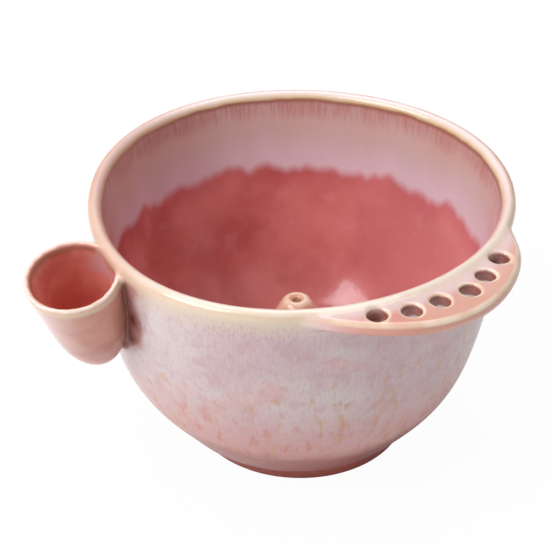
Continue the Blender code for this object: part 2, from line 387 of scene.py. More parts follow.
# %% The post
POST_BASE = 24 * MM
POST_TIP = 4.2 * MM
POST_HEIGHT = 42.3 * MM
POST_RIDGES = 5
POST_FLUTE = 2.0 * MM
DIMPLE_RADIUS = 2.6 * MM
DIMPLE_DEPTH = 2.8 * MM

post_share = np.linspace(0, 1, 31)
post_radii = POST_TIP + (POST_BASE - POST_TIP) * (1 - post_share) ** 0.7
post_section = [(0, FLOOR_HEIGHT - 2 * MM), (POST_BASE, FLOOR_HEIGHT - 2 * MM)]
post_section += [(r, FLOOR_HEIGHT + s * POST_HEIGHT) for r, s in zip(post_radii, post_share)]
post_top = FLOOR_HEIGHT + POST_HEIGHT
post_section += [(POST_TIP - 0.5 * MM, post_top + 0.3 * MM), (DIMPLE_RADIUS, post_top - 0.4 * MM)]
post_section += [(DIMPLE_RADIUS / 2, post_top - 0.8 * DIMPLE_DEPTH), (0, post_top - DIMPLE_DEPTH)]
post_clay = turn_on_wheel("post_clay", post_section, 100)


def flutes(points):
    share = np.clip((points[:, 2] - FLOOR_HEIGHT) / POST_HEIGHT, 0, 1)
    radius = np.hypot(points[:, 0], points[:, 1])
    around = np.arctan2(points[:, 1], points[:, 0])
    press = POST_FLUTE * np.sin(pi * share**0.8) * (1 - np.cos(POST_RIDGES * (around + pi / 2))) / 2
    press *= np.clip(radius / (6 * MM), 0, 1)
    scale = np.clip(radius - press, 0, None) / np.maximum(radius, 1e-6)
    return points * np.stack([scale, scale, 0 * scale + 1], axis=1)


reshape(post_clay, flutes)
print("post clay", len(post_clay.data.polygons), "faces")

# %% [markdown]
# ## Luting the clay together
#
# Wet clay pieces are joined with slip and a thin coil, and the joints are smoothed with a finger.
# Separate meshes pushed into each other would show hard creases, so the pieces and swollen copies
# of the ledge's and the post's coils are joined, remeshed in small voxels as one skin, and smoothed.
# The post's coil is pressed in a little first, so that it fills the ends of the flutes.

# %% Luting the clay together
VOXEL = 0.95 * MM
COIL_SWELL = 0.7 * MM
COIL_PRESS = {"ledge_luting_coil": 1, "post_luting_coil": 0.91}
coils = []
for coil_name, press in COIL_PRESS.items():
    pick(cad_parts[coil_name])
    bpy.ops.object.duplicate()
    coil = bpy.context.object
    coil.parent = None
    face_outwards(coil)
    finish_with(coil, "DISPLACE", strength=COIL_SWELL, mid_level=0)
    reshape(coil, lambda rows: rows * np.array((press, press, 1)))
    coils.append(coil)
pick(bowl_clay, cup_clay, ledge_clay, post_clay, *coils)
bpy.ops.object.join()
clay = bowl_clay
clay.name = "clay"
finish_with(clay, "REMESH", mode="VOXEL", voxel_size=VOXEL, adaptivity=0, use_smooth_shade=True)
finish_with(clay, "SMOOTH", factor=0.5, iterations=6)
print("clay", len(clay.data.vertices), "points")

# %% [markdown]
# ## Masks that the glaze reads
#
# The glaze behaves by place: red inside, lilac outside, cream over each edge, dark in each crease.
# Which side of the wall a point is on can't be told from its position alone by a few nodes, so it
# is worked out here once for each point and kept as a named attribute of the mesh. Edges and
# creases come from how far a point stands out from a heavily smoothed copy of the surface.

# %% Masks that the glaze reads


def neighbours_smoothed(values, edges, count, passes):
    """Values averaged with those of their neighbours, several times over."""
    share = np.bincount(edges.ravel(), minlength=count)[:, None]
    for _ in range(passes):
        total = np.empty_like(values)
        for column in range(values.shape[1]):
            near = np.bincount(edges[:, 0], values[edges[:, 1], column], count)
            near += np.bincount(edges[:, 1], values[edges[:, 0], column], count)
            total[:, column] = near
        values = 0.4 * values + 0.6 * total / share
    return values


mesh = clay.data
points = points_of(clay)
edges = read(mesh.edges, "vertices", np.int32, 2)
normals = read(mesh.vertex_normals, "vector", np.float32, 3)


def standing_out(passes):
    """How far each point stands out of the surface round it, in metres."""
    away = ((points - neighbours_smoothed(points, edges, len(points), passes)) * normals).sum(axis=1)
    return neighbours_smoothed(away[:, None], edges, len(points), 2)[:, 0]


sharp = standing_out(4)
broad = standing_out(14)
radius = np.hypot(points[:, 0], points[:, 1])
height = points[:, 2]
bearing = np.degrees(np.arctan2(points[:, 1], points[:, 0]))
wall_middle = (bowl_outside + bowl_inside) / 2
middle_radius = np.interp(height, wall_middle[:, 1], wall_middle[:, 0])
inside_bowl = smooth_step(middle_radius - radius, -0.6 * MM, 0.9 * MM)

from_cup = (points - np.array(cup_mouth)) @ np.array(cup_turn)
from_cup -= from_cup[:, 2:] * sway
cup_middle = cup_outside + cup_normals * CUP_WALL / 2
cup_radius = np.interp(from_cup[:, 2], cup_outside[:, 1], cup_outside[:, 0])
cup_half = np.interp(from_cup[:, 2], cup_middle[:, 1], cup_middle[:, 0])
cup_away = np.hypot(from_cup[:, 0], from_cup[:, 1])
outside_bowl = smooth_step(radius - middle_radius, -0.5 * MM, 0.5 * MM)
inside_cup = smooth_step(cup_half - cup_away, -0.5 * MM, 0.6 * MM) * outside_bowl
cup_floor = 1.2 * CUP_WALL - CUP_LENGTH
inside_cup *= smooth_step(from_cup[:, 2], cup_floor - 1 * MM, cup_floor)
on_cup = (1 - smooth_step(cup_away - cup_radius, 0.4 * MM, 2.5 * MM)) * outside_bowl
on_cup *= smooth_step(from_cup[:, 2], -CUP_LENGTH - 4 * MM, -CUP_LENGTH - 1 * MM)
by_ledge = smooth_step(bearing, -92, -84) * (1 - smooth_step(bearing, -16, -9))
on_ledge = by_ledge * smooth_step(radius, 80.3 * MM, 83.5 * MM) * smooth_step(height, 95 * MM, 99 * MM)

lip_middle = BOWL_TOP - lip_radius
lip_turn = np.arctan2(middle_radius - radius, np.maximum(height - lip_middle, 0))
over_lip = lip_radius * lip_turn + np.sign(lip_turn) * np.maximum(lip_middle - height, 0)
at_rim = 1 - smooth_step(radius, RIM_RADIUS + 0.4 * MM, RIM_RADIUS + 2.2 * MM)
cup_lip_middle = -CUP_WALL / 2
cup_lip_turn = np.arctan2(cup_half - cup_away, np.maximum(from_cup[:, 2] - cup_lip_middle, 0))
over_cup_lip = CUP_WALL / 2 * cup_lip_turn
over_cup_lip += np.sign(cup_lip_turn) * np.maximum(cup_lip_middle - from_cup[:, 2], 0)
at_cup_lip = on_cup * smooth_step(from_cup[:, 2], -9 * MM, -7 * MM)
at_cup_lip *= smooth_step(radius, RIM_RADIUS - 1.2 * MM, RIM_RADIUS - 0.2 * MM)

beside_cup = 1 - smooth_step(cup_away - cup_radius, 0.5 * MM, 16 * MM)
beside_cup *= outside_bowl * smooth_step(from_cup[:, 2], -CUP_LENGTH + 2 * MM, -CUP_LENGTH + 14 * MM)
cup_veil = inside_cup * smooth_step(from_cup[:, 2], -17 * MM, -11 * MM)
cup_veil *= 1 - smooth_step(from_cup[:, 2], -6 * MM, -3 * MM)
cup_veil *= 1 - smooth_step(radius, 82 * MM, 88 * MM)
in_hole = np.zeros(len(points))
for hole in HOLES:
    away = np.hypot(*(points[:, :2] - hole_place(*hole)).T)
    in_hole = np.maximum(in_hole, 1 - smooth_step(away, HOLE_RADIUS + 0.1 * MM, HOLE_RADIUS + 0.6 * MM))
in_hole *= on_ledge * (1 - smooth_step(height, LEDGE_TOP - 1.0 * MM, LEDGE_TOP - 0.3 * MM))
on_post = 1 - smooth_step(radius, POST_BASE, POST_BASE + 3 * MM)
on_post *= smooth_step(height, FLOOR_HEIGHT, FLOOR_HEIGHT + 5 * MM)

masks = {
    "thrown_height": height,
    "over_lip": over_lip,
    "at_rim": at_rim,
    "over_cup_lip": over_cup_lip,
    "at_cup_lip": at_cup_lip,
    "inside_bowl": inside_bowl,
    "inside_cup": inside_cup,
    "on_cup": on_cup,
    "beside_cup": beside_cup,
    "on_ledge": on_ledge,
    "on_post": on_post,
    "cup_veil": cup_veil,
    "in_hole": in_hole,
    "edge": np.clip(sharp / (0.25 * MM), 0, 1),
    "crease": np.clip(-broad / (0.5 * MM), 0, 1),
}
for mask_name, values in masks.items():
    layer = mesh.attributes.new(mask_name, "FLOAT", "POINT")
    layer.data.foreach_set("value", values.astype(np.float32))
print(len(masks), "masks on", len(points), "points")

# %% [markdown]
# ## Bending the skin
#
# Now the waves of the rim move the whole skin. They take hold of the rim and fade out down the
# wall, and the post and the floor stay as they are. Halfway down, the left side bellies out a little.

# %% Bending the skin
LEFT_BELLY = 1.6 * MM


def warped(points):
    """The rim's waves, which fade out down the wall, and the fuller left side."""
    around = np.arctan2(points[:, 0], -points[:, 1])
    radius = np.hypot(points[:, 0], points[:, 1])
    grip = smooth_step(points[:, 2], 40 * MM, 104 * MM) * smooth_step(radius, 30 * MM, 60 * MM)
    left = smooth_step(-np.sin(around), 0.2, 1) * smooth_step(radius, 40 * MM, 55 * MM)
    full = smooth_step(points[:, 2], 18 * MM, 48 * MM) * (1 - smooth_step(points[:, 2], 62 * MM, 92 * MM))
    scale = 1 + (grip * rim_spread(around) + LEFT_BELLY * left * full) / np.maximum(radius, 1e-6)
    moved = points * np.stack([scale, scale, 0 * scale + 1], axis=1)
    moved[:, 2] += grip * rim_lift(around)
    return moved


reshape(clay, warped)
print("warped rim", np.round(points_of(clay).max(axis=0) / MM, 1), "mm at most")

# %% [markdown]
# ## Thinning the skin
#
# The voxels are finer than the plain wall needs, so edges are collapsed where the clay is nearly
# flat. The normals of the fine skin are kept first. Then each point gets the number of the piece
# that it belongs to: bowl, cup, ledge or post.

# %% Thinning the skin
THINNED = 0.55

layer = mesh.attributes.new("skin_normal", "FLOAT_VECTOR", "POINT")
layer.data.foreach_set("vector", read(mesh.vertex_normals, "vector", np.float32, 3).ravel())
finish_with(clay, "DECIMATE", ratio=THINNED)
mesh = clay.data
points = points_of(clay)
near_post = np.hypot(points[:, 0], points[:, 1]) < POST_BASE + 1.5 * MM
belongs = np.zeros(len(points), np.int32)
belongs[read(mesh.attributes["on_cup"].data, "value") > 0.5] = 1
belongs[read(mesh.attributes["on_ledge"].data, "value") > 0.5] = 2
belongs[near_post & (points[:, 2] > FLOOR_HEIGHT - 1 * MM)] = 3
layer = mesh.attributes.new("belongs", "INT", "POINT")
layer.data.foreach_set("value", belongs)
print("thinned to", len(mesh.polygons), "faces")

# %% [markdown]
# ## Parting the skin into its pieces
#
# The fused skin is right for the eye, but the part is an assembly, so the skin is parted again
# where cup, ledge and post were luted on. Each part keeps the normals of the whole skin, so no
# seam shows, and the hole that parting leaves is closed inside the clay. Beside the cup the closing
# face lies deeper, because the edges of that hole stand out of the wall's curve.

# %% Parting the skin into its pieces
JOINT_DEPTH = 1.2 * MM
CUP_JOINT_DEPTH = 1.3 * MM


def part_off(number, name):
    """Separates the faces whose points all belong to one piece into an object of their own."""
    skin = clay.data
    owner = read(skin.attributes["belongs"].data, "value", np.int32)
    corners = read(skin.loops, "vertex_index", np.int32)
    starts = read(skin.polygons, "loop_start", np.int32)
    whole = np.logical_and.reduceat(owner[corners] == number, starts)
    pick(clay)
    bpy.context.tool_settings.mesh_select_mode = (False, False, True)
    bpy.ops.object.mode_set(mode="EDIT")
    bpy.ops.mesh.select_all(action="DESELECT")
    bpy.ops.object.mode_set(mode="OBJECT")
    skin.polygons.foreach_set("select", whole)
    bpy.ops.object.mode_set(mode="EDIT")
    bpy.ops.mesh.separate(type="SELECTED")
    bpy.ops.object.mode_set(mode="OBJECT")
    piece = next(obj for obj in bpy.context.selected_objects if obj is not clay)
    piece.name = name
    return piece


def close_joint(piece):
    """Turns the cut edge into the clay, closes it there, and keeps the normals of the whole skin."""
    pick(piece)
    before = len(piece.data.polygons)
    bpy.context.tool_settings.mesh_select_mode = (False, True, False)
    bpy.ops.object.mode_set(mode="EDIT")
    bpy.ops.mesh.select_all(action="DESELECT")
    bpy.ops.mesh.select_non_manifold(
        use_wire=False, use_multi_face=False, use_non_contiguous=False, use_verts=False
    )
    bpy.ops.mesh.extrude_region_move()
    bpy.ops.object.mode_set(mode="OBJECT")
    skin = piece.data
    kept = read(skin.attributes["skin_normal"].data, "vector", np.float32, 3)
    kept /= np.maximum(np.linalg.norm(kept, axis=1, keepdims=True), 1e-6)
    turned_in = read(skin.vertices, "select", bool)
    by_cup = read(skin.attributes["on_cup"].data, "value") > 0.2
    outward = points_of(piece) * np.array((1, 1, 0))
    outward /= np.maximum(np.linalg.norm(outward, axis=1, keepdims=True), 1e-6)
    inward = kept * JOINT_DEPTH + outward * by_cup[:, None] * CUP_JOINT_DEPTH
    reshape(piece, lambda rows: rows - inward * turned_in[:, None])
    bpy.ops.object.mode_set(mode="EDIT")
    bpy.ops.mesh.select_all(action="SELECT")
    bpy.ops.mesh.fill_holes(sides=0)
    bpy.ops.object.mode_set(mode="OBJECT")
    corner_normals = kept[read(skin.loops, "vertex_index", np.int32)]
    for hidden in list(skin.polygons)[before:]:
        hidden.use_smooth = False
        corner_normals[hidden.loop_start : hidden.loop_start + hidden.loop_total] = hidden.normal
    skin.normals_split_custom_set(corner_normals.tolist())
    skin.attributes.remove(skin.attributes["skin_normal"])
    skin.attributes.remove(skin.attributes["belongs"])
    return len(skin.polygons) - before


cup_skin = part_off(1, "cup_skin")
ledge_skin = part_off(2, "ledge_skin")
post_skin = part_off(3, "post_skin")
bowl_skin = clay
bowl_skin.name = "bowl_skin"
for piece in (bowl_skin, cup_skin, ledge_skin, post_skin):
    closed = close_joint(piece)
    print(piece.name, len(piece.data.polygons), "faces,", closed, "of them close a joint")

# %% [markdown]
# ## The foot
#
# The foot is a low disc trimmed on the wheel, a little narrower than the bowl's seat, so a shadow
# line runs round above it. Its lower edge is softened with a bevel, and it sits slightly off the
# bowl's axis, as on the real one.

# %% The foot
FOOT_TOP_RADIUS = 46.5 * MM
FOOT_BASE_RADIUS = 43 * MM
FOOT_SHIFT = 1.4 * MM
foot_section = [(0, 0), (FOOT_BASE_RADIUS, 0), (FOOT_TOP_RADIUS, SEAT_HEIGHT - 0.5 * MM)]
foot_section += [(FOOT_TOP_RADIUS + 1.5 * MM, SEAT_HEIGHT + 0.6 * MM), (0, SEAT_HEIGHT + 0.6 * MM)]
foot = turn_on_wheel("foot_ring", foot_section, 160)
finish_with(foot, "BEVEL", width=0.85 * MM, segments=4, limit_method="ANGLE", angle_limit=radians(28))
pick(foot)
bpy.ops.object.mode_set(mode="EDIT")
bpy.ops.mesh.select_all(action="SELECT")
bpy.ops.transform.translate(value=(FOOT_SHIFT, 0, 0))
bpy.ops.object.mode_set(mode="OBJECT")
bpy.ops.object.shade_smooth_by_angle(angle=radians(35))
print("foot", len(foot.data.polygons), "faces")

# %% [markdown]
# ## Helpers for the glaze nodes
#
# Colours are written as they look on a screen and turned into the linear values that the shader
# needs. Effects that several glazes share are node groups: runs that follow the wall downwards,
# and cloudy mottling.

# %% Helpers for the glaze nodes


def colour(text):
    """Linear colour from six hexadecimal digits of a screen colour."""
    parts = [int(text[i : i + 2], 16) / 255 for i in (0, 2, 4)]
    return (*[c / 12.92 if c <= 0.04045 else ((c + 0.055) / 1.055) ** 2.4 for c in parts], 1)


def put(tree, kind, inputs=None, **settings):
    """Adds a node, sets its properties, and links or sets each input that is named or numbered."""
    made = tree.nodes.new("ShaderNode" + kind)
    for setting, value in settings.items():
        setattr(made, setting, value)
    for key, value in (inputs or {}).items():
        if isinstance(value, bpy.types.NodeSocket):
            tree.links.new(value, made.inputs[key])
        else:
            made.inputs[key].default_value = value
    return made


def maths(tree, operation, first, second=0.0, third=0.0):
    return put(tree, "Math", {0: first, 1: second, 2: third}, operation=operation).outputs[0]


def fade(tree, value, low, high, to_low=0.0, to_high=1.0):
    """A soft rise of a value between two limits."""
    inputs = {"Value": value, "From Min": low, "From Max": high, "To Min": to_low, "To Max": to_high}
    return put(tree, "MapRange", inputs, interpolation_type="SMOOTHSTEP").outputs[0]


def blend(tree, amount, below, over):
    """Lays one colour over another by an amount."""
    return put(tree, "Mix", {0: amount, 6: below, 7: over}, data_type="RGBA").outputs[2]


def tint(tree, below, amount, share, text):
    """Lays a screen colour over a base by a share of an amount."""
    return blend(tree, maths(tree, "MULTIPLY", amount, share), below, colour(text))


def ramp(tree, value, *stops):
    """Colour along a value, from pairs of place and screen colour."""
    made = put(tree, "ValToRGB", {"Fac": value})
    bar = made.color_ramp.elements
    while len(bar) < len(stops):
        bar.new(0.5)
    for element, (place, text) in zip(bar, stops):
        element.position = place
        element.color = colour(text)
    return made.outputs[0]


def mask(tree, name):
    return put(tree, "Attribute", attribute_name=name).outputs["Fac"]


def new_group(name, inputs, outputs):
    """An empty shader node group with its sockets, and its first and last node."""
    tree = bpy.data.node_groups.new(name, "ShaderNodeTree")
    for socket, kind, value in inputs:
        made = tree.interface.new_socket(socket, in_out="INPUT", socket_type=kind)
        if value is not None:
            made.default_value = value
    for socket, kind in outputs:
        tree.interface.new_socket(socket, in_out="OUTPUT", socket_type=kind)
    return tree, tree.nodes.new("NodeGroupInput"), tree.nodes.new("NodeGroupOutput")


def use(tree, group, output, inputs):
    return put(tree, "Group", inputs, node_tree=group).outputs[output]


# %% [markdown]
# ## Runs and mottling
#
# Melting glaze runs straight down the wall. A noise that is stretched along the height and wrapped
# round the axis gives runs without a seam: the point's direction from the axis, a unit vector,
# takes the place of its angle. Mottling is the same noise left round.

# %% Groups for runs and mottling
FLOAT, VECTOR = "NodeSocketFloat", "NodeSocketVector"
runs_group, first, last = new_group(
    "glaze_runs",
    (
        ("Vector", VECTOR, None), ("Count", FLOAT, 40.0), ("Length", FLOAT, 12.0),
        ("Low", FLOAT, 0.45), ("High", FLOAT, 0.7), ("Detail", FLOAT, 2.0),
    ),
    (("Run", FLOAT), ("Raw", FLOAT), ("Lobe", FLOAT)),
)
parts = put(runs_group, "SeparateXYZ", {0: first.outputs["Vector"]})
flat = put(runs_group, "CombineXYZ", {0: parts.outputs[0], 1: parts.outputs[1], 2: 0.0})
around = put(runs_group, "VectorMath", {0: flat.outputs[0]}, operation="NORMALIZE")
turned = {0: around.outputs[0], "Scale": first.outputs["Count"]}
spaced = put(runs_group, "VectorMath", turned, operation="SCALE")
down = maths(runs_group, "MULTIPLY", parts.outputs[2], first.outputs["Length"])
down_vector = put(runs_group, "CombineXYZ", {0: 0.0, 1: 0.0, 2: down})
where = put(runs_group, "VectorMath", {0: spaced.outputs[0], 1: down_vector.outputs[0]}, operation="ADD")
grain = {"Vector": where.outputs[0], "Scale": 1.0, "Detail": first.outputs["Detail"]}
noise = put(runs_group, "TexNoise", grain)
run = fade(runs_group, noise.outputs["Fac"], first.outputs["Low"], first.outputs["High"])
rounded = {"Vector": spaced.outputs[0], "Scale": 1.0, "Smoothness": 0.7}
cells = put(runs_group, "TexVoronoi", rounded, feature="SMOOTH_F1")
lobe = maths(runs_group, "POWER", cells.outputs["Distance"], 2.0)
runs_group.links.new(lobe, last.inputs["Lobe"])
runs_group.links.new(run, last.inputs["Run"])
runs_group.links.new(noise.outputs["Fac"], last.inputs["Raw"])

mottle_group, first, last = new_group(
    "glaze_mottle",
    (("Vector", VECTOR, None), ("Scale", FLOAT, 60.0), ("Low", FLOAT, 0.4), ("High", FLOAT, 0.65)),
    (("Cloud", FLOAT), ("Raw", FLOAT)),
)
grain = {"Vector": first.outputs["Vector"], "Scale": first.outputs["Scale"], "Detail": 4.0}
noise = put(mottle_group, "TexNoise", grain)
cloud = fade(mottle_group, noise.outputs["Fac"], first.outputs["Low"], first.outputs["High"])
mottle_group.links.new(cloud, last.inputs["Cloud"])
mottle_group.links.new(noise.outputs["Fac"], last.inputs["Raw"])


def runs(tree, place, count, length, low, high):
    inputs = {"Vector": place, "Count": count, "Length": length, "Low": low, "High": high}
    return use(tree, runs_group, "Run", inputs)


def clouds(tree, place, scale, low, high):
    return use(tree, mottle_group, "Cloud", {"Vector": place, "Scale": scale, "Low": low, "High": high})


print("groups", [group.name for group in bpy.data.node_groups])

# %% [markdown]
# ## The glaze outside
#
# One glaze covers bowl, cup, ledge and post, and the masks decide how it shows. Outside it is a
# streaked lavender pink with tan flecks low down and a rose-brown band above the foot.

# %% The glaze outside


def new_material(name):
    material = bpy.data.materials.new(name)
    material.use_nodes = True
    tree = material.node_tree
    tree.nodes.clear()
    shader = put(tree, "BsdfPrincipled")
    put(tree, "OutputMaterial", {"Surface": shader.outputs[0]})
    return material, tree, shader


def outside_colour(tree, place, height):
    """Lavender pink with fine downward hatching and flecks, rose brown low down, beige under the rim."""
    cloud = clouds(tree, place, 26.0, 0.35, 0.65)
    base = blend(tree, cloud, colour("c6acb0"), colour("ccbebe"))
    patch = clouds(tree, place, 55.0, 0.5, 0.72)
    base = tint(tree, base, patch, 0.75, "cfa5a2")
    hatch = runs(tree, place, 105.0, 420.0, 0.44, 0.66)
    base = tint(tree, base, hatch, 0.24, "b08f97")
    thread = runs(tree, place, 70.0, 170.0, 0.5, 0.7)
    base = tint(tree, base, thread, 0.15, "dfd6d6")
    speck = clouds(tree, place, 190.0, 0.48, 0.66)
    base = tint(tree, base, speck, 0.3, "b98f94")
    dusty = maths(tree, "MULTIPLY", fade(tree, height, 0.066, 0.024), 0.8)
    base = blend(tree, dusty, base, colour("c98d88"))
    tan = runs(tree, place, 20.0, 120.0, 0.58, 0.7)
    tan = maths(tree, "MULTIPLY", tan, fade(tree, height, 0.088, 0.06))
    base = tint(tree, base, tan, 0.65, "c49a72")
    salmon = runs(tree, place, 23.0, 130.0, 0.53, 0.68)
    salmon = maths(tree, "MULTIPLY", salmon, fade(tree, height, 0.068, 0.03))
    base = tint(tree, base, salmon, 0.8, "c5806f")
    sway = use(tree, mottle_group, "Raw", {"Vector": place, "Scale": 70.0})
    low = maths(tree, "MULTIPLY_ADD", sway, 0.010, maths(tree, "SUBTRACT", height, 0.005))
    base = tint(tree, base, fade(tree, low, 0.033, 0.0205), 0.95, "983c32")
    beige = fade(tree, maths(tree, "MULTIPLY_ADD", hatch, -0.005, height), 0.0915, 0.1025)
    return tint(tree, base, beige, 0.8, "d5c2ae")


# %% [markdown]
# ## The glaze inside
#
# Inside, a lilac band hangs from the rim in scallops over a rose red that has pooled below. The
# edge between them is a height that wanders with a slow wave, with lobes of two sizes and with
# small bumps.

# %% The glaze inside


def inside_colour(tree, place, height):
    """Rose red that has pooled below a lilac band, which hangs from the lip in soft scallops."""
    sway = use(tree, runs_group, "Raw", {"Vector": place, "Count": 4.0, "Length": 0.0, "Detail": 0.0})
    broad = use(tree, runs_group, "Lobe", {"Vector": place, "Count": 6.5})
    small = use(tree, runs_group, "Lobe", {"Vector": place, "Count": 15.0})
    level = maths(tree, "MULTIPLY_ADD", maths(tree, "SUBTRACT", sway, 0.5), 0.006, 0.0735)
    level = maths(tree, "MULTIPLY_ADD", broad, 0.0048, level)
    level = maths(tree, "MULTIPLY_ADD", small, 0.0026, level)
    bumps = use(tree, runs_group, "Raw", {"Vector": place, "Count": 9.0, "Length": 10.0, "Detail": 1.0})
    level = maths(tree, "MULTIPLY_ADD", maths(tree, "SUBTRACT", bumps, 0.5), 0.006, level)
    over = maths(tree, "SUBTRACT", height, level)
    band = fade(tree, over, -0.0028, 0.0028)

    cloud = clouds(tree, place, 34.0, 0.35, 0.68)
    red = blend(tree, cloud, colour("bc5f5e"), colour("d37c7a"))
    wisp = clouds(tree, place, 90.0, 0.55, 0.75)
    red = tint(tree, red, wisp, 0.4, "d28a92")
    # The right side of the inside is painted lighter and pinker: painted light and painted sheen from the
    # key lamp on the inner wall.
    aside = put(tree, "SeparateXYZ", {0: place}).outputs[0]
    red = blend(tree, fade(tree, aside, 0.0, 0.065, 0.0, 0.5), red, colour("d48a8e"))
    rich = fade(tree, over, -0.012, 0.0)
    red = tint(tree, red, rich, 0.35, "b04a50")

    share = fade(tree, over, 0.0, 0.029)
    lilac = ramp(
        tree, share, (0.0, "d6bac4"), (0.22, "d0b2b8"), (0.5, "c9aba8"), (0.8, "c9a49d"), (1.0, "bf8f87"),
    )
    veil = clouds(tree, place, 48.0, 0.4, 0.7)
    lilac = tint(tree, lilac, veil, 0.35, "cbb6b8")
    streak = runs(tree, place, 150.0, 95.0, 0.4, 0.66)
    near_lip = fade(tree, height, 0.0935, 0.1025)
    streak = maths(tree, "MULTIPLY", streak, maths(tree, "MULTIPLY", near_lip, 0.5))
    lilac = blend(tree, streak, lilac, colour("b0635e"))
    return blend(tree, band, red, lilac)


# %% [markdown]
# ## The whole glaze
#
# The colours of the walls come first, and each place lays its own over them: dark pooling beside
# the cup, salmon on it and coral inside, tan on the ledge with a painted highlight along its inner
# edge and painted shade in its holes, peach on the post. The glaze breaks cream and peach over each
# edge, with a brown line beside it, and gathers dark in creases. Along the crest of the rim and of
# the cup's lip a painted highlight lies over that pale break, and the rim's left side is painted
# darker, as painted shade.

# %% The whole glaze


def glaze_material(name):
    """The whole glaze: walls, then cup, ledge, rim and post, then what gathers in the creases."""
    material, tree, shader = new_material(name)
    place = put(tree, "TexCoord").outputs["Object"]
    height = mask(tree, "thrown_height")
    fine = clouds(tree, place, 75.0, 0.35, 0.65)
    coarse = clouds(tree, place, 30.0, 0.38, 0.62)

    base = outside_colour(tree, place, height)
    near_cup = maths(tree, "MULTIPLY_ADD", fine, 0.4, mask(tree, "beside_cup"))
    base = blend(tree, fade(tree, near_cup, 0.5, 1.1, 0.0, 0.85), base, colour("9c5a52"))
    base = blend(tree, fade(tree, near_cup, 1.05, 1.3, 0.0, 0.9), base, colour("5c2c24"))
    base = blend(tree, mask(tree, "inside_bowl"), base, inside_colour(tree, place, height))

    axes = put(tree, "SeparateXYZ", {0: place})
    salmon = blend(tree, fine, colour("b67767"), colour("c98e7d"))
    lilac = fade(tree, maths(tree, "MULTIPLY_ADD", coarse, -0.014, axes.outputs[0]), -0.072, -0.094)
    lilac = maths(tree, "MULTIPLY", lilac, fade(tree, height, 0.06, 0.076, 0.0, 0.85))
    salmon = blend(tree, lilac, salmon, colour("dabfbb"))
    base = blend(tree, mask(tree, "on_cup"), base, salmon)
    coral = blend(tree, fine, colour("d5786c"), colour("e19082"))
    base = blend(tree, mask(tree, "inside_cup"), base, coral)
    base = tint(tree, base, mask(tree, "cup_veil"), 0.7, "c9a8ae")
    cup_lip = maths(tree, "MULTIPLY_ADD", fine, 0.0008, mask(tree, "over_cup_lip"))
    along = put(tree, "MapRange", {"Value": cup_lip, "From Min": -0.006, "From Max": 0.006}).outputs[0]
    # The cup's lip is partly the glaze breaking pale over it and partly a painted highlight, the near-white
    # stop at its crest.
    cup_lip_break_and_highlight = ramp(
        tree, along,
        (0.0, "c9a08c"), (0.17, "d2baa0"), (0.3, "d9c2a6"), (0.38, "dcb49c"), (0.48, "eedfd6"),
        (0.55, "e8c8b8"), (0.63, "dca596"), (0.7, "b57f68"), (0.83, "a06a5a"), (1.0, "ab6e62"),
    )
    shown = maths(tree, "MULTIPLY", fade(tree, cup_lip, -0.0055, -0.003), fade(tree, cup_lip, 0.006, 0.0025))
    shown = maths(tree, "MULTIPLY", shown, mask(tree, "at_cup_lip"))
    base = blend(tree, maths(tree, "MULTIPLY", shown, 0.9), base, cup_lip_break_and_highlight)

    shelf = blend(tree, coarse, colour("d2918b"), colour("dcadab"))
    shelf = tint(tree, shelf, fine, 0.3, "dba482")
    across = put(tree, "CombineXYZ", {0: axes.outputs[0], 1: axes.outputs[1], 2: 0.0}).outputs[0]
    out = put(tree, "VectorMath", {0: across}, operation="LENGTH").outputs["Value"]
    # The pale band along the ledge's inner edge is a painted highlight, the sheen of the lamps laid on as
    # colour.
    shelf = blend(tree, fade(tree, out, 0.0885, 0.0835, 0.0, 0.75), shelf, colour("dec8ca"))
    shelf = blend(tree, fade(tree, out, 0.0875, 0.0935, 0.0, 0.4), shelf, colour("d09a7c"))
    base = blend(tree, mask(tree, "on_ledge"), base, shelf)
    # The hole walls are painted dark brown, as painted shade inside the holes.
    base = tint(tree, base, mask(tree, "in_hole"), 0.9, "8a4a3e")

    wander = maths(tree, "SUBTRACT", mask(tree, "over_lip"), 0.0003)
    wander = maths(tree, "MULTIPLY_ADD", fine, 0.0006, wander)
    along = put(tree, "MapRange", {"Value": wander, "From Min": -0.009, "From Max": 0.009}).outputs[0]
    # The pale stops of both ramps at the crest are a painted highlight over the glaze's pale break,
    # cream-white at the front and pink-white at the back.
    front_lip_with_highlight = ramp(
        tree, along, (0.0, "d6c6b4"), (0.22, "d9c6b0"), (0.33, "dcc2aa"), (0.43, "e4d6c6"), (0.5, "e8dace"),
        (0.56, "e2baae"), (0.61, "d8a298"), (0.69, "bd8775"), (0.78, "93594c"), (0.89, "a8675f"),
    )
    back_lip_with_highlight = ramp(
        tree, along, (0.0, "d6c6b4"), (0.28, "dcb9a2"), (0.4, "dca28e"), (0.46, "e2b6a8"), (0.51, "ecd8d6"),
        (0.59, "ead6d3"), (0.64, "e4cfb8"), (0.7, "d9bf9c"), (0.74, "ae8860"), (0.77, "93594c"),
        (0.89, "a8675f"),
    )
    lip = blend(tree, fade(tree, axes.outputs[1], -0.035, 0.025), front_lip_with_highlight, back_lip_with_highlight)
    # The rim's left side is painted darker: painted shade that tones down where the key lamp falls.
    lip = blend(tree, fade(tree, axes.outputs[0], -0.035, -0.075, 0.0, 0.5), lip, colour("c9917e"))
    rim = maths(tree, "MULTIPLY", fade(tree, wander, -0.0085, -0.0045), fade(tree, wander, 0.0068, 0.0044))
    rim = maths(tree, "MULTIPLY", rim, mask(tree, "at_rim"))
    rim = maths(tree, "MULTIPLY", rim, maths(tree, "MULTIPLY_ADD", mask(tree, "on_ledge"), -0.75, 1.0))
    base = blend(tree, maths(tree, "MULTIPLY", rim, 0.92), base, lip)

